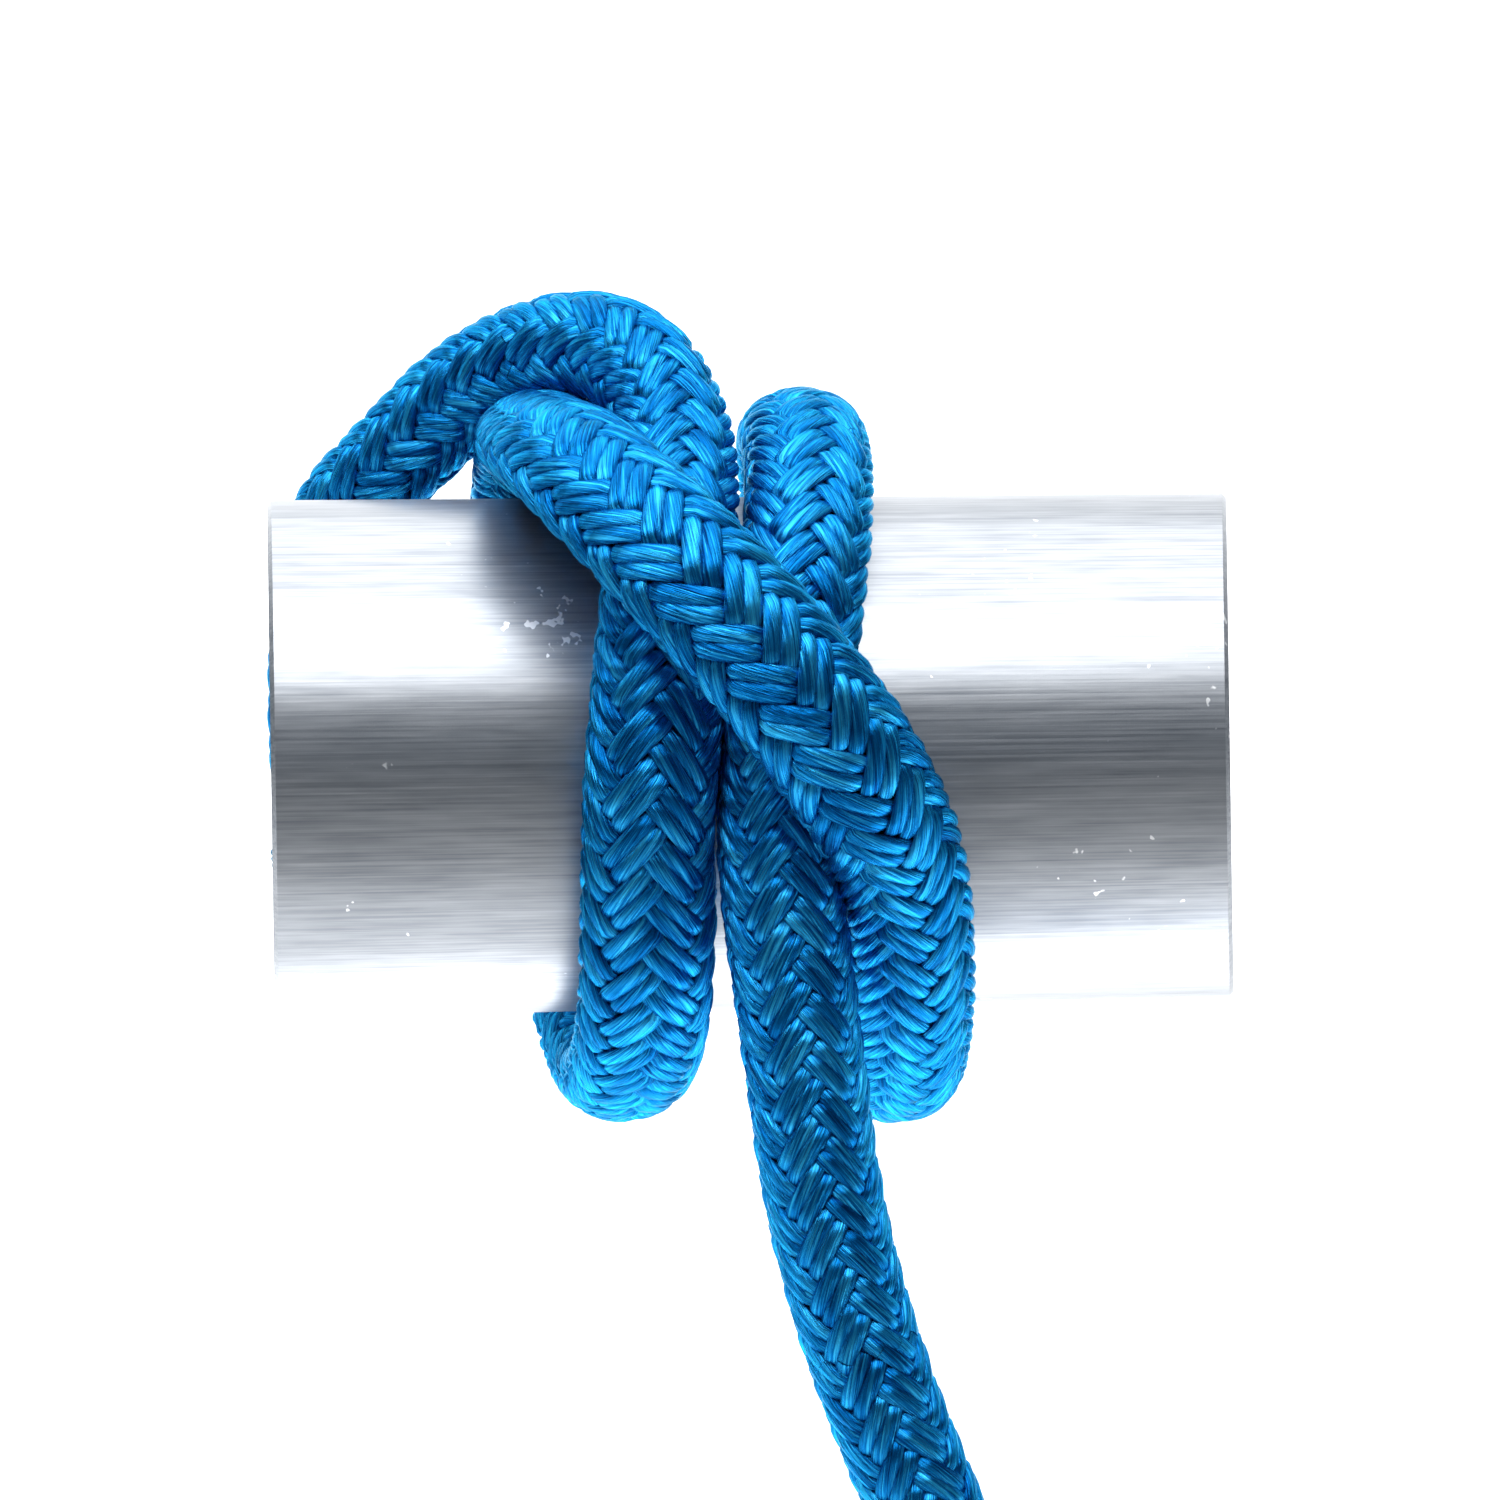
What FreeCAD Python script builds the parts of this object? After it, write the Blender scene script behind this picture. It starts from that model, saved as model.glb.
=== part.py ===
"""A double-braid rope made fast to a round rail with a clove hitch, with a seized eye at its loaded end.

The rail's axis is the X axis and the origin is on it, at the middle of the hitch. Y runs from the front
of the rail to its back, and Z is up. Every piece of rope follows one route, from the free working end
behind the rail, through the arch and the three turns of the hitch, down the tail and round the eye.
Millimetres throughout.
"""
import FreeCAD, Part
import math
import os

V = FreeCAD.Vector

# Driving sizes: alias, value, what it is.
SIZES = [
    ("rope_diameter", 12.7, "outside of the braided cover"),
    ("core_diameter", 8.4, "braided core inside the cover"),
    ("rail_diameter", 60.3, "round rail that the hitch grips"),
    ("rail_span", 120.0, "length of rail that the turns are trimmed to"),
    ("bend_gap", 0.3, "clearance between a ball end and its dish"),
    ("whipping_length", 9.0, "twine binding near a rope end"),
    ("whipping_wall", 0.9, "thickness of that binding"),
    ("tip_length", 3.0, "heat-sealed dome at a rope end"),
    ("seizing_length", 20.0, "lashing that closes the eye"),
    ("seizing_wall", 1.3, "thickness of that lashing"),
    ("leg_pitch", 12.9, "distance between the two legs in the lashing"),
]

# The route. A free point is (x, y, z). A wound point is (x, angle, radius): angle is in degrees round
# the rail, 0 at its front and 90 at its top, falling as the rope runs down the front and up the back.
WORKING_END_AND_ARCH = [
    (-46.5, 37.5, -22.0),
    (-48.5, 38.0, -4.0),
    (-48.5, 36.0, 15.0),
    (-47.0, 28.5, 29.0),
    (-39.0, 21.0, 36.5),
    (-30.5, 15.6, 46.3),
    (-20.5, 5.0, 50.5),
    (-11.5, -4.5, 46.5),
    (-8.5, -15.0, 36.5),
]
FIRST_TURN = [
    (-10.4, 41, 37.1),
    (-13.2, 18, 37.6),
    (-15.4, -12, 38.4),
    (-14.6, -55, 38.9),
    (-14.8, -100, 38.9),
    (-17.5, -144, 38.9),
    (-21.0, -188, 38.9),
    (-24.0, -230, 38.3),
    (-25.0, -264, 37.7),
]
RIDING_TURN = [
    (-25.0, -292, 37.7),
    (-21.2, -312, 46.2),
    (-11.7, -330, 52.4),
    (-2.4, -345, 51.4),
    (6.4, -361, 49.2),
    (13.5, -380, 39.9),
    (16.4, -414, 37.6),
    (18.3, -454, 38.8),
]
LAST_TURN = [
    (17.2, -499, 39.1),
    (14.7, -543, 38.9),
    (11.5, -587, 38.6),
    (7.7, -628, 38.3),
    (5.8, -667, 38.3),
    (1.1, -704, 37.6),
    (-2.3, -734, 38.3),
]
TAIL = [
    (2.0, -37.0, -32.5),
    (3.9, -37.0, -50.5),
    (8.6, -37.0, -69.0),
    (16.8, -37.0, -89.0),
]
EYE = [
    (26.0, -37.0, -110.5),
    (38.5, -37.0, -138.0),
    (31.9, -36.5, -172.5),
    (46.1, -38.0, -192.6),
    (70.2, -39.5, -193.6),
    (86.2, -39.5, -175.1),
    (80.7, -38.0, -151.1),
    (50.3, -37.0, -132.7),
    (38.1, -37.0, -105.3),
    (33.6, -37.0, -87.6),
]


def wound(point):
    """Cartesian place of a point given round the rail."""
    x, angle, radius = point
    turned = math.radians(angle)
    return V(x, -radius * math.cos(turned), radius * math.sin(turned))


ROUTE = (
    [V(*p) for p in WORKING_END_AND_ARCH]
    + [wound(p) for p in FIRST_TURN + RIDING_TURN + LAST_TURN]
    + [V(*p) for p in TAIL + EYE]
)

# Runs of the route, counted from its first point, in the middle of which one stretch ends and the next
# begins. The bends are where the rope flexes: each is a ball end in a dish.
START = 0
END_BEND = 3
ARCH_END = 8
FIRST_TURN_END = 17
RIDING_TURN_END = 25
TAIL_BEND = 33
EYE_BEND = 36
FINISH = len(ROUTE) - 1
SEIZED_RUN = 37
SEIZED_RETURN_RUN = 44

ARC_SHARE = 0.45  # of the shorter run beside a corner, taken by its arc


def middle(run):
    """Middle of a run of the route."""
    return (ROUTE[run] + ROUTE[run + 1]) * 0.5


def heading(run):
    """Unit direction of a run, from the working end towards the eye."""
    along = ROUTE[run + 1] - ROUTE[run]
    return along.normalize()


def corner(index):
    """The tangent arc at a point of the route: its first, middle and last points and its radius."""
    point = ROUTE[index]
    before = heading(index - 1)
    after = heading(index)
    shorter = min((point - ROUTE[index - 1]).Length, (ROUTE[index + 1] - point).Length)
    reach = ARC_SHARE * shorter
    half_turn = before.getAngle(after) / 2
    radius = reach / math.tan(half_turn)
    inward = (after - before).normalize()
    depth = radius * (1 / math.cos(half_turn) - 1)
    return point - before * reach, point + inward * depth, point + after * reach, radius


def stretch_wire(first, last):
    """Straight runs joined by tangent arcs, from the middle of one run, or the rope's end, to another."""
    here = ROUTE[0] if first == START else middle(first)
    edges = []
    corners = range(first + 1, (last if last == FINISH else last + 1))
    for index in corners:
        begin, top, end, _ = corner(index)
        edges.append(Part.LineSegment(here, begin).toShape())
        edges.append(Part.Arc(begin, top, end).toShape())
        here = end
    stop = ROUTE[-1] if last == FINISH else middle(last)
    edges.append(Part.LineSegment(here, stop).toShape())
    return Part.Wire(edges)


def place(at, along):
    """Placement with its Z axis along a direction."""
    return FreeCAD.Placement(at, FreeCAD.Rotation(V(0, 0, 1), along))


doc = FreeCAD.newDocument("clove_hitch")
sheet = doc.addObject("Spreadsheet::Sheet", "Sizes")
for row, (alias, value, note) in enumerate(SIZES, start=1):
    sheet.set(f"A{row}", alias)
    sheet.set(f"B{row}", str(value))
    sheet.set(f"C{row}", note)
    sheet.setAlias(f"B{row}", alias)
doc.recompute()

subparts = []


def add(kind, name, **bound):
    """A document object with some of its properties bound to the sheet."""
    made = doc.addObject(kind, name)
    for prop, expression in bound.items():
        made.setExpression(prop, expression)
    return made


def cut(name, base, tool):
    """Boolean cut of one object by another."""
    made = doc.addObject("Part::Cut", name)
    made.Base = base
    made.Tool = tool
    return made


def fuse(name, base, tool):
    """Boolean union of two objects."""
    made = doc.addObject("Part::Fuse", name)
    made.Base = base
    made.Tool = tool
    return made


def keep(made, node):
    """Marks an object as a sub-part, under the name of its file."""
    made.Label = node
    subparts.append(made)
    return made


def rod(name, first, last, radius):
    """Round rod swept along a stretch of the route."""
    path = doc.addObject("Part::Feature", f"{name}_path")
    path.Shape = stretch_wire(first, last)
    wire = path.Shape
    start = wire.OrderedVertexes[0].Point
    ring = add("Part::Circle", f"{name}_ring", Radius=radius)
    ring.Placement = place(start, heading(first))
    swept = doc.addObject("Part::Sweep", name)
    swept.Sections = [ring]
    swept.Spine = (path, [f"Edge{i + 1}" for i in range(len(wire.Edges))])
    swept.Solid = True
    swept.Frenet = False
    return swept


def ball(name, at, along, radius):
    """Half ball on the end of a rod."""
    made = add("Part::Sphere", name, Radius=radius)
    made.Angle1 = 0
    made.Angle2 = 90
    made.Placement = place(at, along)
    return made


def dish(name, at):
    """Ball-shaped tool that hollows the end facing a ball, with clearance all round."""
    made = add("Part::Sphere", name, Radius="Sizes.rope_diameter / 2 + Sizes.bend_gap")
    made.Placement.Base = at
    return made


def rail_tool(name):
    """The rail itself, which flattens the rope where it presses on it."""
    made = add("Part::Cylinder", name, Radius="Sizes.rail_diameter / 2", Height="Sizes.rail_span")
    made.Placement = place(V(-sheet.rail_span / 2, 0, 0), V(1, 0, 0))
    return made


COVER = "Sizes.rope_diameter / 2"
CORE = "Sizes.core_diameter / 2"


def stretch(name, first, last, radius, ball_at=(), dish_at=()):
    """One rod of the rope with its ball ends and dishes, for runs given in ball_at and dish_at."""
    made = rod(name, first, last, radius)
    for run in ball_at:
        outward = heading(run) * (1 if run == last else -1)
        end = ball(f"{name}_ball{run}", middle(run), outward, radius)
        made = fuse(f"{name}_round{run}", made, end)
    for run in dish_at:
        made = cut(f"{name}_dished{run}", made, dish(f"{name}_dish{run}", middle(run)))
    return made


def cover_and_core(node, first, last, ball_at=(), dish_at=()):
    """A stretch of rope: the hollow braided cover, which is returned, and the core that fills it."""
    outer = stretch(f"{node}_outer", first, last, COVER, ball_at, dish_at)
    bore = stretch(f"{node}_bore", first, last, CORE, ball_at)
    keep(stretch(f"{node}_filling", first, last, CORE, ball_at, dish_at), f"{node}_core")
    return keep(cut(f"{node}_sleeve", outer, bore), f"{node}_cover")


def hitch_cover(node, first, last, dish_at=(), on_rail=True):
    """Cover of one part of the hitch, flattened where it lies on the rail."""
    outer = stretch(f"{node}_outer", first, last, COVER, (), dish_at)
    if on_rail:
        outer = cut(f"{node}_pressed", outer, rail_tool(f"{node}_rail"))
    bore = stretch(f"{node}_bore", first, last, CORE)
    keep(cut(f"{node}_sleeve", outer, bore), f"{node}_cover")


def whipped_end(node, at, outward):
    """Twine binding round a rope end, and the heat-sealed dome beyond it."""
    tip = add("Part::Ellipsoid", f"{node}_dome", Radius1="Sizes.tip_length", Radius2=COVER)
    tip.Angle1 = 0
    tip.Angle2 = 90
    tip.Placement = place(at, outward)
    keep(tip, f"{node}_tip")
    sleeve = add(
        "Part::Cylinder",
        f"{node}_binding",
        Radius="Sizes.rope_diameter / 2 + Sizes.whipping_wall",
        Height="Sizes.whipping_length",
    )
    hole = add("Part::Cylinder", f"{node}_binding_hole", Radius=COVER, Height="Sizes.whipping_length")
    for made in (sleeve, hole):
        made.Placement = place(at, outward * -1)
    keep(cut(f"{node}_binding_ring", sleeve, hole), f"{node}_whipping")


def seizing(node, cover):
    """Lashing round both legs of the eye: a rounded block that fits the cover of the two legs."""
    along = heading(SEIZED_RUN)
    first_leg = middle(SEIZED_RUN)
    across = middle(SEIZED_RETURN_RUN) - first_leg
    across = (across - along * across.dot(along)).normalize()
    base = first_leg - along * (sheet.seizing_length / 2)
    turn = FreeCAD.Rotation(across, along.cross(across), along, "ZXY")
    legs = []
    holes = []
    for index, offset in enumerate((0.0, sheet.leg_pitch)):
        at = FreeCAD.Placement(base + across * offset, turn)
        leg = add(
            "Part::Cylinder",
            f"{node}_leg{index}",
            Radius="Sizes.rope_diameter / 2 + Sizes.seizing_wall",
            Height="Sizes.seizing_length",
        )
        hole = add("Part::Cylinder", f"{node}_hole{index}", Radius=COVER, Height="Sizes.seizing_length")
        leg.Placement = at
        hole.Placement = at
        legs.append(leg)
        holes.append(hole)
    between = add(
        "Part::Box",
        f"{node}_between",
        Length="Sizes.leg_pitch",
        Width="Sizes.rope_diameter + 2 * Sizes.seizing_wall",
        Height="Sizes.seizing_length",
    )
    half_width = sheet.rope_diameter / 2 + sheet.seizing_wall
    between.Placement = FreeCAD.Placement(base - along.cross(across) * half_width, turn)
    block = doc.addObject("Part::MultiFuse", f"{node}_block")
    block.Shapes = legs + [between]
    for index, hole in enumerate(holes):
        block = cut(f"{node}_bored{index}", block, hole)
    keep(cut(f"{node}_fitted", block, cover), node)


def report_arcs():
    """Prints the radius of each corner's arc."""
    diameter = sheet.rope_diameter
    for index in range(1, FINISH):
        radius = corner(index)[3]
        print(f"corner {index:2d}  arc radius {radius:6.1f} mm, {radius / diameter:4.1f} rope diameters")


def check_rod(made):
    """Compares a swept rod's volume with its section times its length."""
    length = made.Spine[0].Shape.Length
    radius = made.Sections[0].Radius.Value
    ratio = made.Shape.Volume / (math.pi * radius**2 * length)
    if abs(ratio - 1) > 0.01:
        raise RuntimeError(f"{made.Name} has {ratio:.3f} of the volume of its section times its length")


cover_and_core("end", START, END_BEND, ball_at=(END_BEND,))
whipped_end("end", ROUTE[0], heading(0) * -1)
hitch_cover("arch", END_BEND, ARCH_END, dish_at=(END_BEND,), on_rail=False)
hitch_cover("first_turn", ARCH_END, FIRST_TURN_END)
hitch_cover("riding_turn", FIRST_TURN_END, RIDING_TURN_END)
hitch_cover("last_turn", RIDING_TURN_END, TAIL_BEND, dish_at=(TAIL_BEND,))
keep(stretch("hitch_filling", END_BEND, TAIL_BEND, CORE, (), (END_BEND, TAIL_BEND)), "hitch_core")
cover_and_core("tail", TAIL_BEND, EYE_BEND, ball_at=(TAIL_BEND,), dish_at=(EYE_BEND,))
eye_cover = cover_and_core("eye", EYE_BEND, FINISH, ball_at=(EYE_BEND,))
seizing("eye_seizing", eye_cover)
whipped_end("eye_end", ROUTE[-1], heading(FINISH - 1))
doc.recompute()

for item in doc.Objects:
    if "Invalid" in item.State or "Error" in item.State:
        raise RuntimeError(f"{item.Name} did not compute")
    if item.isDerivedFrom("Part::Sweep"):
        check_rod(item)
for item in subparts:
    if item.Shape.isNull() or not item.Shape.isValid():
        raise RuntimeError(f"{item.Label} has no valid shape")

report_arcs()
rope_length = stretch_wire(START, FINISH).Length
print(f"rope length {rope_length:.1f} mm")
os.makedirs("parts", exist_ok=True)
for item in subparts:
    item.Shape.exportStep(f"parts/{item.Label}.step")
    print(f"{item.Label}: {len(item.Shape.Solids)} solid, {item.Shape.Volume:.0f} mm3")
for name, run in (("end bend", END_BEND), ("tail bend", TAIL_BEND), ("eye bend", EYE_BEND)):
    print(name, [round(c, 2) for c in middle(run)], "heading", [round(c, 3) for c in heading(run)])
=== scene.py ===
"""Studio model of a half-inch braided rope made fast to a round rail with a clove hitch.

The rope is built the way a braider lays it: sixteen carriers of two yarns each run round one line,
eight one way and eight the other, two over and two under. The line keeps to the route of the rope's plain
solids. Twine whips both ends and seizes the eye. Metres throughout.
"""
from __future__ import annotations

import logging
import math
from collections.abc import Iterable
from dataclasses import dataclass, field
from enum import Enum

import bpy
import numpy as np
from mathutils import Matrix, Vector


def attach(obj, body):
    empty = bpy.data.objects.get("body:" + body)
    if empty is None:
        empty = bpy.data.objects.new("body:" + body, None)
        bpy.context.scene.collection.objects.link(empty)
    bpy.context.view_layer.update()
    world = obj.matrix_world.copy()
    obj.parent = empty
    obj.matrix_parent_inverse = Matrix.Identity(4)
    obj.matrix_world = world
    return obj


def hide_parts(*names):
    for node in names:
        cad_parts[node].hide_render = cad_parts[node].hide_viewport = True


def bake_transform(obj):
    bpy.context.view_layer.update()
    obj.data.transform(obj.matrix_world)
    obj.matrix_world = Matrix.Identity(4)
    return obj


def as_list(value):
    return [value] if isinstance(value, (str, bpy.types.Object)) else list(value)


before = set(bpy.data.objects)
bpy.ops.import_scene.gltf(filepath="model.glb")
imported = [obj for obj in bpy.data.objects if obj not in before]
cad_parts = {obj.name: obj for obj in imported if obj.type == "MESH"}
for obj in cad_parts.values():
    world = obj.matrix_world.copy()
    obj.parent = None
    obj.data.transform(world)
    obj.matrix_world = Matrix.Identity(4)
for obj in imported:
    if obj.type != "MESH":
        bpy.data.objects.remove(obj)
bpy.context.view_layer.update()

log = logging.getLogger("clove_hitch")

Array = np.ndarray
Triple = tuple[float, float, float]
MM = 0.001
TINY = 1e-12

# The route keeps to the one of the rope's plain solids within 4.1 mm. A free point is (x, y, z). A wound
# point is (x, angle, radius): angle is in degrees round the rail, 0 at its front and 90 at its top.
WORKING_END_AND_ARCH = [
    (-0.0465, 0.0375, -0.0220),
    (-0.0485, 0.0380, -0.0040),
    (-0.0485, 0.0360, 0.0150),
    (-0.0470, 0.0285, 0.0290),
    (-0.0390, 0.0210, 0.0365),
    (-0.0300, 0.0156, 0.0453),
    (-0.0193, 0.0050, 0.0490),
    (-0.0116, -0.0045, 0.0460),
    (-0.0085, -0.0150, 0.0365),
]
FIRST_TURN = [
    (-0.0107, 41, 0.0371),
    (-0.0132, 18, 0.0376),
    (-0.0150, -12, 0.0385),
    (-0.0142, -55, 0.0394),
    (-0.0146, -100, 0.0409),
    (-0.0175, -144, 0.0396),
    (-0.0210, -188, 0.0389),
    (-0.0228, -230, 0.0383),
    (-0.0232, -264, 0.0381),
]
RIDING_TURN = [
    (-0.0239, -292, 0.0384),
    (-0.0224, -315, 0.0464),
    (-0.0134, -336, 0.0526),
    (-0.0038, -348, 0.0518),
    (0.0060, -362, 0.0496),
    (0.0135, -380, 0.0399),
    (0.0164, -414, 0.0390),
    (0.0183, -454, 0.0415),
]
LAST_TURN = [
    (0.0172, -499, 0.0404),
    (0.0147, -543, 0.0389),
    (0.0115, -587, 0.0392),
    (0.0077, -628, 0.0398),
    (0.0058, -667, 0.0386),
    (0.0014, -704, 0.0376),
    (-0.0013, -734, 0.0383),
]
TAIL = [
    (0.0016, -0.0370, -0.0325),
    (0.0036, -0.0370, -0.0505),
    (0.0086, -0.0370, -0.0690),
    (0.0168, -0.0370, -0.0890),
]
EYE = [
    (0.0260, -0.0370, -0.1105),
    (0.0385, -0.0370, -0.1380),
    (0.0319, -0.0365, -0.1725),
    (0.0461, -0.0380, -0.1926),
    (0.0702, -0.0395, -0.1936),
    (0.0862, -0.0395, -0.1751),
    (0.0807, -0.0380, -0.1511),
    (0.0503, -0.0370, -0.1327),
    (0.0381, -0.0370, -0.1053),
    (0.0336, -0.0370, -0.0876),
]


def wound(point: Triple) -> Triple:
    """Works out where a wound point is.

    Args:
        point: its x, its angle and its radius.

    Returns:
        Its x, y and z.
    """
    x, angle, radius = point
    turned = math.radians(angle)
    return x, -radius * math.cos(turned), radius * math.sin(turned)


ROUTE = [
    *WORKING_END_AND_ARCH,
    *(wound(p) for p in FIRST_TURN + RIDING_TURN + LAST_TURN),
    *TAIL,
    *EYE,
]


def unit(vectors: Array) -> Array:
    """Vectors of length one, along the last axis."""
    return vectors / np.maximum(np.linalg.norm(vectors, axis=-1, keepdims=True), TINY)


def squared(vectors: Array, axes: Array) -> Array:
    """Each vector made square to its axis and of length one."""
    return unit(vectors - axes * np.sum(vectors * axes, 1, keepdims=True))


def run_along(points: Array) -> Array:
    """For each point of a path, the length of the path up to it."""
    return np.r_[0.0, np.cumsum(np.linalg.norm(np.diff(points, axis=0), axis=1))]


def smooth_step(values: Array | float) -> Array | float:
    """Eases from 0 to 1 as the values do, held at both ends."""
    held = np.clip(values, 0.0, 1.0)
    return held * held * (3 - 2 * held)


# --- Shader maths ---


class Term:
    """One output of a shader tree. Arithmetic on it adds Math nodes."""

    def __init__(self, shader: Shader, socket: bpy.types.NodeSocket) -> None:
        """Wraps a socket.

        Args:
            shader: the tree that the socket is in.
            socket: the output that the term stands for.
        """
        self.shader = shader
        self.socket = socket

    def _math(self, operation: str, left: Term | float, right: Term | float = 0.0) -> Term:
        """Adds one Math node and returns its output."""
        return self.shader.node("ShaderNodeMath", {"operation": operation}, {0: left, 1: right})

    def __add__(self, other: Term | float) -> Term:
        """Sum."""
        return self._math("ADD", self, other)

    __radd__ = __add__

    def __sub__(self, other: Term | float) -> Term:
        """Difference."""
        return self._math("SUBTRACT", self, other)

    def __rsub__(self, other: Term | float) -> Term:
        """Difference, with the term taken away."""
        return self._math("SUBTRACT", other, self)

    def __mul__(self, other: Term | float) -> Term:
        """Product."""
        return self._math("MULTIPLY", self, other)

    __rmul__ = __mul__

    def __truediv__(self, other: Term | float) -> Term:
        """Quotient."""
        return self._math("DIVIDE", self, other)

    def __pow__(self, other: Term | float) -> Term:
        """Power."""
        return self._math("POWER", self, other)


class Shader:
    """A material's node tree, with its one Principled shader."""

    def __init__(self, name: str) -> None:
        """Starts a material.

        Args:
            name: the material's name.
        """
        self.material = bpy.data.materials.new(name)
        self.material.use_nodes = True
        self.tree = self.material.node_tree
        self.surface = next(n for n in self.tree.nodes if n.type == "BSDF_PRINCIPLED")

    def node(
        self,
        kind: str,
        settings: dict[str, object] | None = None,
        inputs: dict[str | int, Term | float | tuple] | None = None,
        output: str | int = 0,
    ) -> Term:
        """Adds any node.

        Args:
            kind: the node's type.
            settings: its properties, or "stops" for a ramp's places and colours.
            inputs: values or terms for its sockets, by name or place.
            output: the output to return.

        Returns:
            The output, as a term.
        """
        made = self.tree.nodes.new(kind)
        for name, value in (settings or {}).items():
            if name == "stops":
                self._set_stops(made, value)
            else:
                setattr(made, name, value)
        for key, value in (inputs or {}).items():
            self._feed(made.inputs[key], value)
        return Term(self, made.outputs[output])

    def _set_stops(self, ramp: bpy.types.Node, stops: tuple[tuple[float, tuple], ...]) -> None:
        """Gives a ramp its stops.

        Args:
            ramp: the ramp.
            stops: the place and colour of each stop.
        """
        elements = ramp.color_ramp.elements
        while len(elements) < len(stops):
            elements.new(1.0)
        for element, (place, tint) in zip(elements, stops):
            element.position = place
            element.color = colour(*tint)

    def _feed(self, socket: bpy.types.NodeSocket, value: Term | float | tuple) -> None:
        """Links a term to a socket, or sets a plain value on it.

        Args:
            socket: the input.
            value: what it is to have.
        """
        if isinstance(value, Term):
            self.tree.links.new(value.socket, socket)
        else:
            socket.default_value = value

    def attribute(self, name: str, output: str) -> Term:
        """One output of a mesh attribute."""
        return self.node("ShaderNodeAttribute", {"attribute_name": name}, output=output)

    def vector(self, x: Term | float, y: Term | float, z: Term | float) -> Term:
        """A vector from three values."""
        return self.node("ShaderNodeCombineXYZ", {}, {0: x, 1: y, 2: z})

    def stretched(self, parts: Iterable[Term], scales: Triple) -> Term:
        """A vector from three values, each times a scale of its own."""
        return self.vector(*(part * scale for part, scale in zip(parts, scales)))

    def split(self, vector: Term) -> tuple[Term, Term, Term]:
        """Takes a vector apart.

        Args:
            vector: the vector.

        Returns:
            Its three values.
        """
        made = self.tree.nodes.new("ShaderNodeSeparateXYZ")
        self.tree.links.new(vector.socket, made.inputs[0])
        x, y, z = (Term(self, made.outputs[i]) for i in range(3))
        return x, y, z

    def noise(self, vector: Term, scale: float, detail: float = 2.0, rough: float = 0.5) -> Term:
        """Noise from 0 to 1 at a place."""
        inputs = {"Vector": vector, "Scale": scale, "Detail": detail, "Roughness": rough}
        return self.node("ShaderNodeTexNoise", {}, inputs, "Fac")

    def blend(self, share: Term | float, first: Term | tuple, second: Term | tuple) -> Term:
        """Colour that goes from the first to the second as share goes from 0 to 1."""
        return self.node(
            "ShaderNodeMix",
            {"data_type": "RGBA", "clamp_factor": True},
            {0: share, 6: first, 7: second},
            2,
        )

    def ramp(self, value: Term, *stops: tuple[float, tuple]) -> Term:
        """Colour ramp."""
        return self.node("ShaderNodeValToRGB", {"stops": stops}, {"Fac": value}, "Color")

    def bump(self, height: Term, strength: float, distance: float) -> Term:
        """Normal bent by a height."""
        inputs = {"Height": height, "Strength": strength, "Distance": distance}
        return self.node("ShaderNodeBump", {}, inputs, "Normal")

    def set(self, **values: Term | float | tuple) -> None:
        """Feeds the surface's sockets; underscores in a name stand for spaces."""
        for name, value in values.items():
            self._feed(self.surface.inputs[name.replace("_", " ")], value)

    def object_place(self) -> Term:
        """Where a point is on its object, in metres."""
        return self.node("ShaderNodeTexCoord", {}, {}, "Object")


def colour(red: float, green: float, blue: float) -> tuple[float, float, float, float]:
    """A colour with full alpha."""
    return red, green, blue, 1.0


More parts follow.
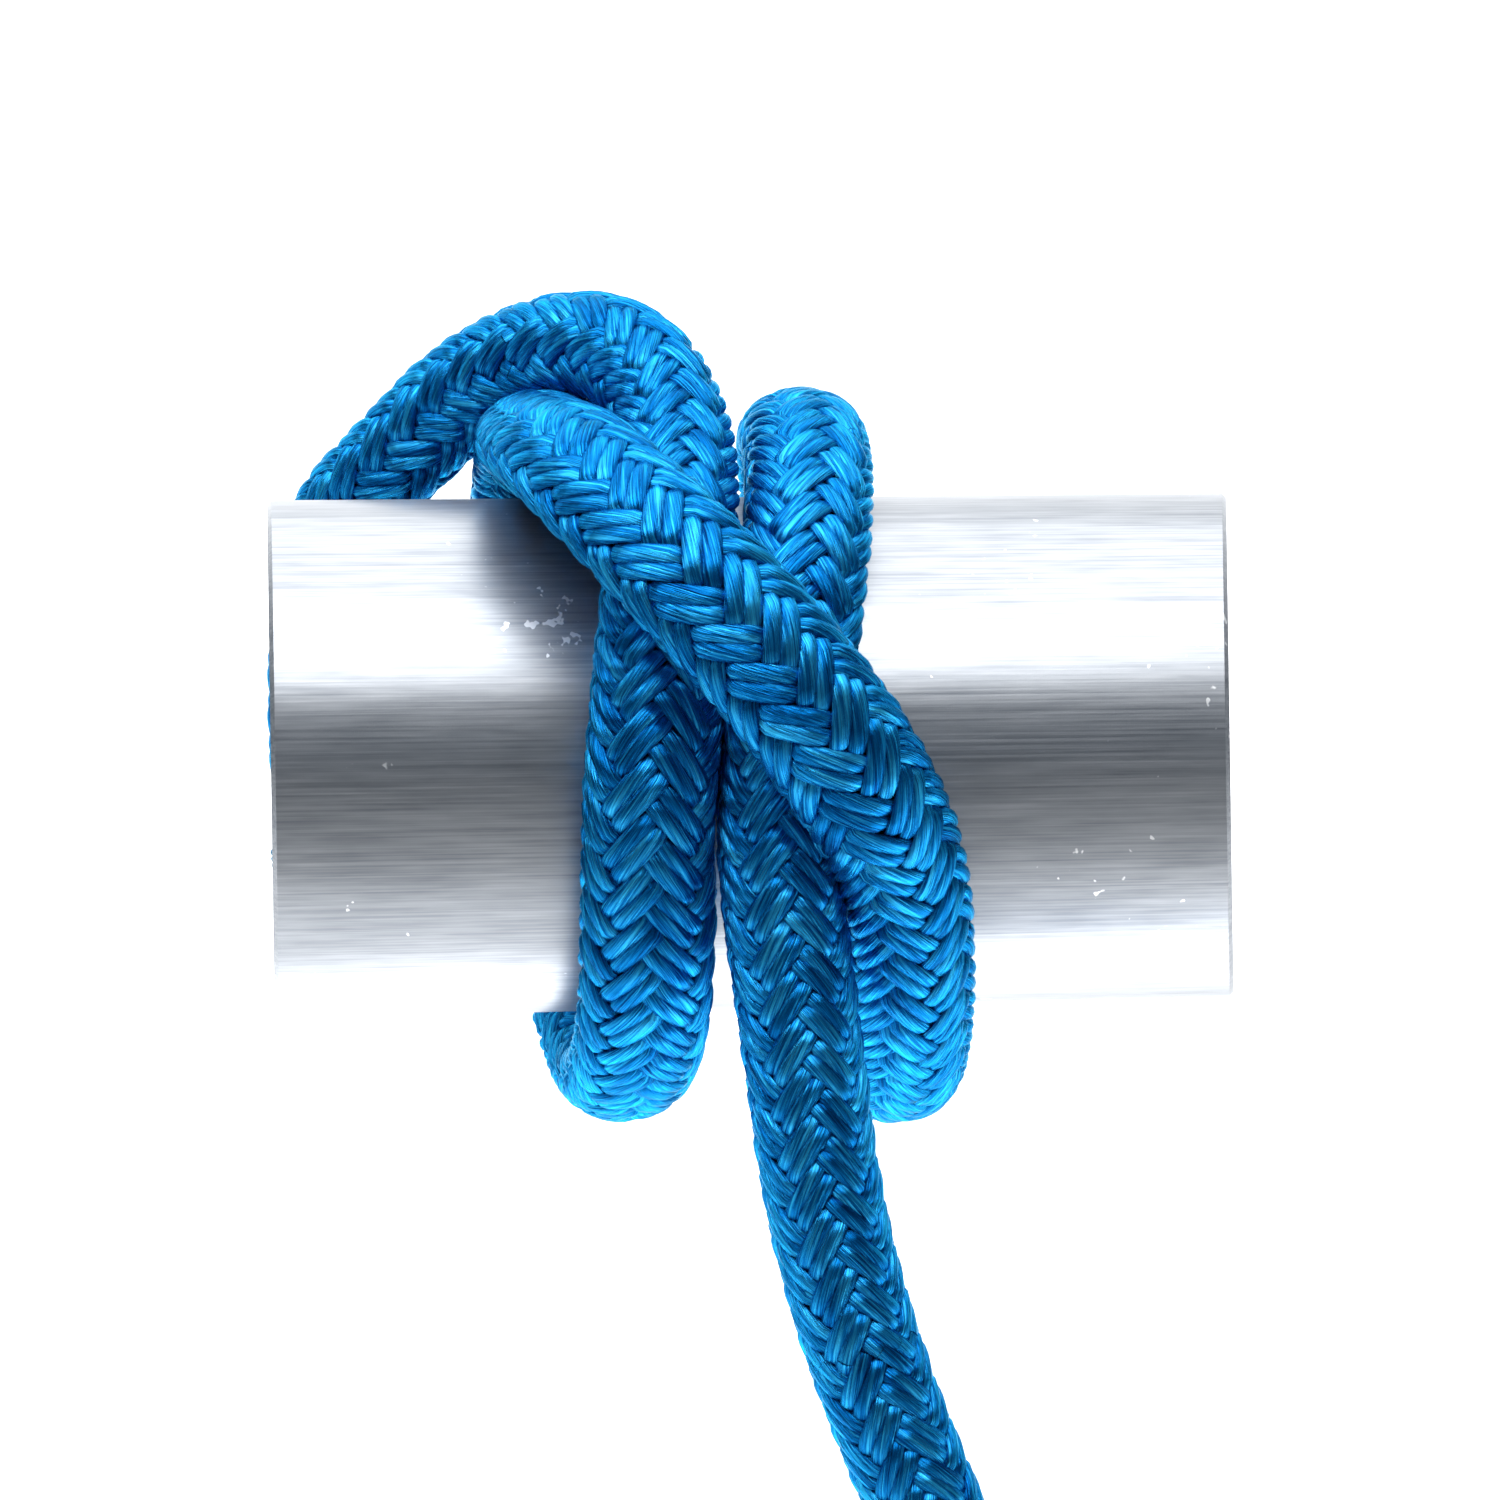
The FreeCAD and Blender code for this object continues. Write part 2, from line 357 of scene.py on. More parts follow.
@dataclass(frozen=True)
class YarnFinish:
    """Bright, slightly twisted filaments of a dyed yarn, read from the yarn's own length and girth.

    The colours go from shaded filaments to lit ones. A bundle is a few filaments, and a patch is a place
    where the dye took more or less. Where the lift attribute is low, under crossing yarns and on the side
    towards the core, painted shade darkens the yarn towards a darker copy of its deep colour.
    """

    name: str
    deep: Triple
    mid: Triple
    light: Triple
    shine: Triple = (0.30, 0.80, 1.0)
    filament: float = 0.11 * MM
    filaments_in_bundle: float = 3.0
    filaments_per_metre: float = 200.0
    bundles_per_metre: float = 110.0
    patches_per_metre: float = 160.0
    patches_per_girth_metre: float = 400.0
    lot_steps: Triple = (37.0, 91.0, 53.0)
    tone_shares: tuple[float, float, float, float] = (0.8, 0.5, 0.3, 0.08)
    tone_drop: float = 0.32
    # Painted shade: a share of the deep colour for the darkest gaps, and how fast it gives way as the lift
    # rises.
    painted_shade_share: float = 0.15
    painted_shade_power: float = 1.7
    roughness: float = 0.24
    roughness_spread: float = 0.2
    relief: float = 0.16 * MM
    relief_shares: tuple[float, float] = (0.9, 0.6)
    gleam: float = 0.92

    def make(self) -> bpy.types.Material:
        """Builds the material."""
        shader = Shader(self.name)
        along, across, lot = shader.split(shader.attribute("fibre", "Vector"))
        steps = [lot * step for step in self.lot_steps]
        fine = shader.vector(along * self.filaments_per_metre, across / self.filament, steps[0])
        filaments = shader.noise(fine, 1.0, 2.0, 0.6)
        girth = across / (self.filament * self.filaments_in_bundle)
        bundles = shader.noise(shader.vector(along * self.bundles_per_metre, girth, steps[1]), 1.0, 1.0)
        girth = across * self.patches_per_girth_metre
        patches = shader.noise(shader.vector(along * self.patches_per_metre, girth, steps[2]), 1.0)
        height = filaments * self.relief_shares[0] + bundles * self.relief_shares[1]
        parts = zip((filaments, bundles, patches, lot), self.tone_shares)
        tone = sum((part * share for part, share in parts), -self.tone_drop)
        dyed = shader.ramp(tone, (0.28, self.deep), (0.5, self.mid), (0.78, self.light))
        # Painted shade: a darker copy of the deep colour, blended in where the lift is low.
        painted_gap_shade = colour(*(self.painted_shade_share * c for c in self.deep))
        lift = shader.attribute("lift", "Fac")
        spread = bundles * self.roughness_spread
        shader.set(
            Base_Color=shader.blend(lift**self.painted_shade_power, painted_gap_shade, dyed),
            Roughness=spread + (self.roughness - 0.4 * self.roughness_spread),
            Metallic=self.gleam,
            Normal=shader.bump(height, 1.0, self.relief),
            Specular_IOR_Level=0.4,
            Specular_Tint=colour(*self.shine),
        )
        return shader.material


@dataclass(frozen=True)
class SealedFinish:
    """Polyester melted and set hard, with fine ripples and pits."""

    name: str
    dark: Triple
    glossy: Triple
    ripples_per_metre: float = 900.0
    blotches_per_metre: float = 240.0
    relief: float = 0.15 * MM

    def make(self) -> bpy.types.Material:
        """Builds the material."""
        shader = Shader(self.name)
        place = shader.object_place()
        ripples = shader.noise(place, self.ripples_per_metre, 4.0, 0.6)
        blotches = shader.noise(place, self.blotches_per_metre)
        shader.set(
            Base_Color=shader.blend(blotches, colour(*self.dark), colour(*self.glossy)),
            Roughness=ripples * 0.3 + 0.2,
            Normal=shader.bump(ripples, 0.6, self.relief),
            Specular_IOR_Level=0.5,
        )
        return shader.material


@dataclass(frozen=True)
class CoreFinish:
    """Braided core, coloured dark blue as painted shade, since it is seen only in the shadowed gaps
    between the cover's yarns.
    """

    name: str
    dark: Triple
    light: Triple
    stitches_per_metre: float = 1400.0
    relief: float = 0.2 * MM

    def make(self) -> bpy.types.Material:
        """Builds the material."""
        shader = Shader(self.name)
        place = shader.object_place()
        weave = shader.noise(place, self.stitches_per_metre, 3.0, 0.6)
        shader.set(
            Base_Color=shader.blend(weave, colour(*self.dark), colour(*self.light)),
            Roughness=weave * 0.2 + 0.7,
            Normal=shader.bump(weave, 0.5, self.relief),
        )
        return shader.material


@dataclass(frozen=True)
class BrushedFinish:
    """Brushed aluminium of the display bar, brushed along its length, with a few nicks."""

    name: str = "brushed_bar"
    dull: Triple = (0.23, 0.25, 0.28)
    bright: Triple = (0.50, 0.52, 0.55)
    bare: Triple = (0.95, 0.96, 0.97)
    lines_per_metre: Triple = (30.0, 3400.0, 3400.0)
    marks_per_metre: Triple = (120.0, 900.0, 900.0)
    spots_per_metre: Triple = (500.0, 700.0, 420.0)
    clouds_per_metre: float = 40.0
    regions_per_metre: float = 55.0
    nicks_between: tuple[float, float] = (0.655, 0.675)
    relief: float = 0.03 * MM

    def make(self) -> bpy.types.Material:
        """Builds the material."""
        shader = Shader(self.name)
        place = shader.object_place()
        parts = shader.split(place)
        lines = shader.noise(shader.stretched(parts, self.lines_per_metre), 1.0, 3.0, 0.6)
        marks = shader.noise(shader.stretched(parts, self.marks_per_metre), 1.0)
        clouds = shader.noise(place, self.clouds_per_metre)
        tone = lines * 0.55 + marks * 0.3 + clouds * 0.15
        grey = shader.ramp(tone, (0.3, self.dull), (0.7, self.bright))
        spots = shader.noise(shader.stretched(parts, self.spots_per_metre), 1.0, 2.0, 0.7)
        regions = shader.noise(place, self.regions_per_metre, 1.0)
        none, full = self.nicks_between
        nicks = shader.ramp(spots * 0.6 + regions * 0.4, (none, (0.0,) * 3), (full, (1.0,) * 3))
        shader.set(
            Base_Color=shader.blend(nicks, grey, colour(*self.bare)),
            Metallic=0.92,
            Roughness=lines * 0.16 + 0.27,
            Normal=shader.bump(lines, 0.3, self.relief),
        )
        return shader.material


@dataclass(frozen=True)
class PaperFinish:
    """White studio paper that glows a little, as lit from behind."""

    name: str
    glow: float
    white: float = 0.95

    def make(self) -> bpy.types.Material:
        """Builds the material."""
        shader = Shader(self.name)
        shader.set(
            Base_Color=colour(self.white, self.white, self.white),
            Roughness=0.9,
            Emission_Strength=self.glow,
            Emission_Color=colour(1.0, 1.0, 1.0),
        )
        return shader.material


@dataclass(frozen=True)
class FloorFinish:
    """Pale studio floor, white under and behind the bar, where it glows as painted light, and painted
    greyer towards the front as painted shade.
    """

    name: str
    front: float = -0.31
    behind: float = -0.10
    grey: float = 0.32
    white: float = 0.95
    glow: float = 0.22

    def make(self) -> bpy.types.Material:
        """Builds the material."""
        shader = Shader(self.name)
        _, y, _ = shader.split(shader.object_place())
        share = (y - self.front) / (self.behind - self.front)
        # Painted shade: the floor goes grey towards the front. Painted light: it glows under and behind
        # the bar.
        shade = shader.ramp(share, (0.0, (self.grey,) * 3), (1.0, (self.white,) * 3))
        glow = shader.ramp(share, (0.3, (0.0,) * 3), (1.0, (self.glow,) * 3))
        shader.set(Base_Color=shade, Roughness=0.9, Emission_Strength=1.0, Emission_Color=glow)
        return shader.material


YARN = YarnFinish("azure_yarn", (0.0, 0.020, 0.12), (0.001, 0.14, 0.42), (0.04, 0.50, 0.88))
TWINE = YarnFinish(
    "navy_twine", (0.0, 0.012, 0.05), (0.004, 0.03, 0.12), (0.02, 0.08, 0.24), filament=0.12 * MM
)
SEALED = SealedFinish("sealed_rope_end", (0.0, 0.012, 0.05), (0.005, 0.05, 0.18))
# The core's dark blues are painted shade for the gaps between the yarns, not the core's own colour.
CORE_PAINTED_SHADE = CoreFinish("braided_core", (0.0, 0.01, 0.045), (0.002, 0.04, 0.15))


# --- Meshes ---


def linked(name: str, data: bpy.types.ID) -> bpy.types.Object:
    """Makes an object and links it to the scene.

    Args:
        name: the object's name.
        data: its mesh, curve, camera or light.

    Returns:
        The object.
    """
    made = bpy.data.objects.new(name, data)
    bpy.context.collection.objects.link(made)
    return made


def new_mesh(name: str, points: list, faces: list, material: bpy.types.Material) -> bpy.types.Mesh:
    """Makes a smooth-shaded mesh of one material.

    Args:
        name: the mesh's name.
        points: its points.
        faces: for each face, the numbers of its points.
        material: its material.

    Returns:
        The mesh.
    """
    mesh = bpy.data.meshes.new(name)
    mesh.from_pydata(points, [], faces)
    mesh.materials.append(material)
    mesh.polygons.foreach_set("use_smooth", [True] * len(mesh.polygons))
    return mesh


def sweep(path: Array, outward: Array, half_width: Array, half_depth: Array, around: int) -> Array:
    """Rings of an oval tube along a path.

    Args:
        path: the tube's centre, ring by ring.
        outward: for each ring, roughly the way that its depth points.
        half_width: half of each ring's width.
        half_depth: half of each ring's depth.
        around: how many points a ring has. The first is at its inner side.

    Returns:
        The rings' points.
    """
    heading = unit(np.gradient(path, axis=0))
    outward = squared(outward, heading)
    side = np.cross(heading, outward)
    turn = np.linspace(0, 2 * math.pi, around, endpoint=False) - math.pi / 2
    across = np.cos(turn)[None, :, None] * (side * np.reshape(half_width, (-1, 1)))[:, None]
    up = np.sin(turn)[None, :, None] * (outward * np.reshape(half_depth, (-1, 1)))[:, None]
    return path[:, None] + across + up


@dataclass
class Surface:
    """Tubes gathered into one mesh, each capped with corners of its own so that its sides shade true."""

    points: list[Array] = field(default_factory=list)
    fibres: list[Array] = field(default_factory=list)
    lifts: list[Array] = field(default_factory=list)
    faces: list[tuple[int, ...]] = field(default_factory=list)
    size: int = 0

    def add(
        self, rings: Array, length: Array, lot: float, twist: float = 0.5, lift: Array | float = 1.0
    ) -> Surface:
        """Adds one tube.

        Args:
            rings: its points, ring by ring.
            length: for each ring, the length along the tube.
            lot: the yarn's lot, from 0 to 1, which sets it apart from its neighbours.
            twist: how far the filaments turn round it for each length along it.
            lift: for each point, how open to the light it is, from 0 to 1; the yarn finish paints shade
                where it is low.

        Returns:
            The surface.
        """
        count, around = rings.shape[:2]
        girth = float(np.linalg.norm(np.diff(rings[0], axis=0), axis=1).sum()) * around / (around - 1)
        fibre = np.zeros((count, around, 3))
        fibre[..., 0] = np.reshape(length, (-1, 1))
        fibre[..., 1] = np.linspace(0.0, girth, around, endpoint=False)[None] + twist * fibre[..., 0]
        fibre[..., 2] = lot
        base = self.size
        for i in range(count - 1):
            low = base + i * around
            for j in range(around):
                k = (j + 1) % around
                self.faces.append((low + j, low + k, low + around + k, low + around + j))
        cap = base + count * around
        self.faces.append(tuple(cap + j for j in reversed(range(around))))
        self.faces.append(tuple(cap + around + j for j in range(around)))
        open_to = np.broadcast_to(np.asarray(lift, float), (count, around))[..., None]
        for store, values in ((self.points, rings), (self.fibres, fibre), (self.lifts, open_to)):
            store.append(np.concatenate([values.reshape(count * around, -1), values[0], values[-1]]))
        self.size += (count + 2) * around
        return self

    def make(self, name: str, material: bpy.types.Material) -> bpy.types.Object:
        """Makes a smooth-shaded object of what has been added.

        Args:
            name: the piece's name.
            material: its one material.

        Returns:
            The object, linked to the scene.
        """
        mesh = new_mesh(name, np.concatenate(self.points).tolist(), self.faces, material)
        made = mesh.attributes.new("fibre", "FLOAT_VECTOR", "POINT")
        made.data.foreach_set("vector", np.concatenate(self.fibres).astype(np.float32).ravel())
        made = mesh.attributes.new("lift", "FLOAT", "POINT")
        made.data.foreach_set("value", np.concatenate(self.lifts).astype(np.float32).ravel())
        mesh.update()
        log.info("%s: %d faces", name, len(mesh.polygons))
        return linked(name, mesh)


@dataclass
class RopeLine:
    """The rope's centreline, with a frame that turns no more than it must.

    Points are a step apart, and the frame is carried on unturned where the line is as good as straight.
    """

    points: Array
    along: Array = field(init=False)
    tangent: Array = field(init=False)
    normal: Array = field(init=False)
    binormal: Array = field(init=False)

    step: float = 0.5 * MM
    straight: float = 1e-18

    def __post_init__(self) -> None:
        """Spaces the points evenly and carries the frame along them."""
        run = run_along(self.points)
        count = int(round(run[-1] / self.step)) + 1
        self.along = np.linspace(0.0, run[-1], count)
        self.points = np.stack([np.interp(self.along, run, self.points[:, k]) for k in range(3)], 1)
        self.tangent = unit(np.gradient(self.points, axis=0))
        self.normal = self._carry(unit(np.cross(self.tangent[0], [0.0, 0.0, 1.0])))
        self.binormal = np.cross(self.tangent, self.normal)

    def _carry(self, first: Array) -> Array:
        """Carries a normal along the line by double reflection.

        Args:
            first: the normal at the line's first point.

        Returns:
            The normal at every point.
        """
        normals = [first]
        for i in range(len(self.points) - 1):
            step = self.points[i + 1] - self.points[i]
            c1 = step @ step
            r = normals[-1] - (2 / c1) * (step @ normals[-1]) * step
            t = self.tangent[i] - (2 / c1) * (step @ self.tangent[i]) * step
            v = self.tangent[i + 1] - t
            c2 = v @ v
            normals.append(r if c2 < self.straight else r - (2 / c2) * (v @ r) * v)
        return unit(np.array(normals))

    @property
    def length(self) -> float:
        """Length of the whole line."""
        return float(self.along[-1])

    def at(self, stations: Array, rows: Array) -> Array:
        """Rows of one of the line's arrays, read between its points at the given stations."""
        return np.stack([np.interp(stations, self.along, rows[:, k]) for k in range(3)], -1)

    def outward(self, stations: Array, angle: Array) -> Array:
        """Directions straight out from the line, turned about it by an angle from its normal."""
        cosine, sine = np.cos(angle)[:, None], np.sin(angle)[:, None]
        return self.at(stations, self.normal) * cosine + self.at(stations, self.binormal) * sine

    def station_near(self, point: Iterable[float], after: float = 0.0) -> float:
        """Finds the line's point that is nearest to a place.

        Args:
            point: the place.
            after: station past which the point has to be.

        Returns:
            The point's station.
        """
        gaps = np.linalg.norm(self.points - np.array(point), axis=1)
        gaps[self.along < after] = np.inf
        return float(self.along[gaps.argmin()])


def read_spline(route: list[Triple]) -> Array:
    """Points along the NURBS spline that has the route as its control points.

    Args:
        route: the control points.

    Returns:
        The points, closely spaced, in order.
    """
    curve = bpy.data.curves.new("rope_line", "CURVE")
    curve.dimensions = "3D"
    curve.resolution_u = 32
    spline = curve.splines.new("NURBS")
    spline.points.add(len(route) - 1)
    for control, point in zip(spline.points, route):
        control.co = (*point, 1.0)
    spline.order_u = 3
    spline.use_endpoint_u = True
    holder = linked("rope_line", curve)
    bpy.context.view_layer.update()
    mesh = bpy.data.meshes.new_from_object(holder)
    points = np.array([v.co for v in mesh.vertices], float)
    bpy.data.objects.remove(holder)
    bpy.data.meshes.remove(mesh)
    bpy.data.curves.remove(curve)
    return points


@dataclass(frozen=True)
class Ripple:
    """A small wave along a yarn or twine, which every lot starts at a place of its own."""

    height: float
    reach: float
    start: float

    def at(self, stations: Array, lot: float) -> Array:
        """The wave's height at the stations."""
        return self.height * np.sin(stations / self.reach + self.start * lot)


class Way(Enum):
    """The way that a carrier winds round the rope."""

    RIGHT_HANDED = 1
    LEFT_HANDED = -1


@dataclass
class Press:
    """How the rope gives where it lies on the rail and on itself.

    Each row of shares is a station and the rope's width and depth there, as shares of its own.
    """

    line: RopeLine
    rail_radius: float = 30.18 * MM
    reach: float = 17.0 * MM
    apart: float = 26.0 * MM
    slack: float = 0.08 * MM
    neighbours: int = 3
    every: int = 4
    shares: tuple[Triple, ...] = (
        (0.050, 1.00, 1.00),
        (0.075, 1.02, 1.09),
        (0.110, 1.06, 1.09),
        (0.140, 1.17, 0.93),
        (0.170, 1.23, 0.91),
        (0.250, 1.18, 0.93),
        (0.330, 1.16, 0.94),
        (0.360, 1.28, 0.91),
        (0.420, 1.28, 0.91),
        (0.450, 1.15, 0.94),
        (0.600, 1.20, 0.92),
        (0.640, 1.16, 0.94),
        (0.668, 1.12, 0.96),
        (0.700, 1.07, 1.00),
        (0.760, 1.02, 1.00),
    )

    def widen(self, stations: Array, centres: Array, points: Array) -> Array:
        """Spreads each ring sideways along the rail and thins it towards the rail's axis.

        Args:
            stations: one for each ring.
            centres: the line's point at each ring.
            points: the rings' points, ring by ring.

        Returns:
            The points, moved.
        """
        places, *shares = zip(*self.shares)
        wider, deeper = (np.interp(stations, places, share)[:, None, None] for share in shares)
        tangent = self.line.at(stations, self.line.tangent)
        outward = squared(centres * (0.0, 1.0, 1.0), tangent)[:, None]
        off = points - centres[:, None]
        depth = np.sum(off * outward, 2, keepdims=True) * outward
        run = np.sum(off * tangent[:, None], 2, keepdims=True) * tangent[:, None]
        side = off - depth - run
        return centres[:, None] + run + side * wider + depth * deeper

    def planes(self, stations: Array) -> list[tuple[Array, Array, Array]]:
        """Planes halfway to the other parts of the rope that lie against each ring.

        Args:
            stations: one for each ring.

        Returns:
            For each neighbour in turn: a point on the plane, its normal, and whether there is one.
        """
        centres = self.line.at(stations, self.line.points)
        others, places = self.line.points[:: self.every], self.line.along[:: self.every]
        gaps = np.linalg.norm(centres[:, None] - others[None], axis=2)
        gaps[np.abs(places[None] - stations[:, None]) < self.apart] = np.inf
        found = []
        for _ in range(self.neighbours):
            nearest = gaps.argmin(1)
            close = gaps[np.arange(len(stations)), nearest] < self.reach
            found.append(((others[nearest] + centres) / 2, unit(others[nearest] - centres), close))
            gaps[np.abs(places[None] - places[nearest][:, None]) < self.apart] = np.inf
        return found

    def settle(self, stations: Array, points: Array) -> Array:
        """Keeps each ring on its own side of its neighbours and outside the rail.

        Args:
            stations: one for each ring.
            points: the rings' points, ring by ring.

        Returns:
            The points, moved.
        """
        points = self.widen(stations, self.line.at(stations, self.line.points), points)
        for middle, normal, close in self.planes(stations):
            past = np.sum((points - middle[:, None]) * normal[:, None], 2, keepdims=True)
            over = np.where(close[:, None, None], np.maximum(past + self.slack, 0.0), 0.0)
            points = points - over * normal[:, None]
        radius = np.maximum(np.hypot(points[..., 1], points[..., 2]), TINY)
        scale = np.maximum(radius, self.rail_radius) / radius
        return points * np.stack([np.ones_like(scale), scale, scale], -1)


@dataclass(frozen=True)
class Seam:
    """Place where a seam between two columns of floats faces the front.

    It is the line's point nearest to a place, past a station, and the seam may be a few columns on.
    """

    near: Triple
    after: float
    columns_on: int = 0


FIRST_TURN_SEAM = Seam((-0.0154, -0.0370, 0.0), 0.12)
RIDING_TURN_SEAM = Seam((-0.0037, -0.0490, 0.0120), 0.36, 1)
LAST_TURN_SEAM = Seam((0.0058, -0.0370, 0.0), 0.60)
TAIL_SEAM = Seam((0.0086, -0.0370, -0.0690), 0.69)


@dataclass
class Braid:
    """The rope's cover: sixteen carriers of two yarns each, over two and under two."""

    line: RopeLine
    press: Press
    material: bpy.types.Material
    seams: tuple[Seam, ...]
    diameter: float = 12.7 * MM
    lay: float = 42.0 * MM
    carriers_each_way: int = 8
    yarns: int = 2
    yarn_half_width: float = 1.00 * MM
    yarn_half_depth: float = 0.68 * MM
    weave_depth: float = 0.64 * MM
    crown: float = 0.12 * MM
    flatness: float = 0.94
    around: int = 10
    ring_step: float = 0.75 * MM
    pair_share: float = 0.97
    first_carrier: float = 0.25
    thin_under: float = 0.08
    filament_twist: float = 0.22
    yarn_take_up: float = 1.25
    lot_step: float = 0.618
    # How the lift for painted shade weighs a yarn's side, its height in the weave, and a base.
    openness: Triple = (0.45, 0.32, 0.6)
    lively: Ripple = Ripple(0.04, 5.7 * MM, 41)
    drifts: tuple[Ripple, Ripple] = (Ripple(0.016, 9.3 * MM, 17), Ripple(0.012, 3.1 * MM, 29))
    core_radius: float = 4.1 * MM
    core_around: int = 28
    seam_stations: Array = field(init=False)
    seam_angles: Array = field(init=False)

    def __post_init__(self) -> None:
        """Finds where each seam faces the front and the angle at which it does."""
        stations = np.array([self.line.station_near(seam.near, seam.after) for seam in self.seams])
        normal = self.line.at(stations, self.line.normal)
        binormal = self.line.at(stations, self.line.binormal)
        column = 2 * math.pi / self.carriers_each_way
        onward = [column * seam.columns_on for seam in self.seams]
        angles = np.arctan2(-binormal[:, 1], -normal[:, 1]) + onward
        self.seam_stations = stations
        self.seam_angles = np.unwrap(angles, period=2 * column)
        log.info("seams face the front at %s", np.round(self.seam_stations, 3).tolist())

    def weave(self, angle: Array) -> Array:
        """Height of a right-handed yarn, from -1 under to 1 over, at an angle from the seam."""
        wave = np.sin(self.carriers_each_way / 2 * angle)
        return wave / np.sqrt(wave * wave * self.flatness + (1 - self.flatness))

    def yarn(self, way: Way, carrier: int, yarn: int, stations: Array) -> tuple[Array, Array]:
        """Rings of one yarn.

        Args:
            way: the way that its carrier winds.
            carrier: which of the carriers that wind that way.
            yarn: which of the carrier's yarns.
            stations: where along the rope each ring is.

        Returns:
            The rings' points, and how open to the light each is.
        """
        hand = way.value
        spacing = 2 * math.pi / self.carriers_each_way
        lateral = (yarn - (self.yarns - 1) / 2) * spacing / self.yarns * self.pair_share
        lot = self.lot(way, carrier, yarn)
        centre = hand * 2 * math.pi * stations / self.lay + (carrier + self.first_carrier) * spacing
        height = hand * self.weave(centre + lateral / 2)
        over = np.clip(height, 0.0, 1.0)
        lively = 1 + self.lively.at(stations, lot)
        middle = self.diameter / 2 - self.yarn_half_depth - self.weave_depth - self.crown
        radius = middle + self.weave_depth * height + self.crown * over**2 * lively
        seam = np.interp(stations, self.seam_stations, self.seam_angles)
        drift = sum(ripple.at(stations, lot) for ripple in self.drifts)
        outward = self.line.outward(stations, centre + lateral + drift + seam)
        path = self.line.at(stations, self.line.points) + outward * radius[:, None]
        plump = (1 - self.thin_under + self.thin_under * over) * lively
        half_width, half_depth = self.yarn_half_width * plump, self.yarn_half_depth * plump
        rings = sweep(path, outward, half_width, half_depth, self.around)
        # Lift, for painted shade: low on the side towards the core and where the yarn dips under its
        # neighbours.
        turn = np.linspace(0, 2 * math.pi, self.around, endpoint=False)
        side, rise, base = self.openness
        lift = smooth_step(side * (1 - np.cos(turn))[None] + rise * (height[:, None] + base))
        return self.press.settle(stations, rings), lift

    def lot(self, way: Way, carrier: int, yarn: int) -> float:
        """A yarn's lot, from 0 to 1."""
        before = carrier + self.carriers_each_way * (way.value > 0)
        return (self.yarns * before + yarn) * self.lot_step % 1.0

    def stations(self, start: float, end: float) -> Array:
        """Where the rings are along one stretch of the rope."""
        return np.linspace(start, end, int(round((end - start) / self.ring_step)) + 1)

    def stretch(self, name: str, start: float, end: float) -> list[bpy.types.Object]:
        """Every carrier along one stretch of the rope.

        Args:
            name: the stretch's name.
            start: station where it begins.
            end: station where it ends.

        Returns:
            The sixteen pieces.
        """
        stations = self.stations(start, end)
        twist = self.filament_twist
        made = []
        for way in Way:
            for carrier in range(self.carriers_each_way):
                surface = Surface()
                for yarn in range(self.yarns):
                    rings, lift = self.yarn(way, carrier, yarn, stations)
                    lot = self.lot(way, carrier, yarn)
                    surface.add(rings, stations * self.yarn_take_up, lot, -way.value * twist, lift)
                made.append(surface.make(f"{name}_{way.name.lower()}_{carrier + 1}", self.material))
        return made

    def core(
        self, name: str, start: float, end: float, material: bpy.types.Material
    ) -> bpy.types.Object:
        """The core along one stretch of the rope.

        Args:
            name: the piece's name.
            start: station where it begins.
            end: station where it ends.
            material: its finish.

        Returns:
            The piece.
        """
        stations = self.stations(start, end)
        path = self.line.at(stations, self.line.points)
        radius = np.full(len(stations), self.core_radius)
        normal = self.line.at(stations, self.line.normal)
        rings = sweep(path, normal, radius, radius, self.core_around)
        return Surface().add(self.press.settle(stations, rings), stations, 0.5).make(name, material)


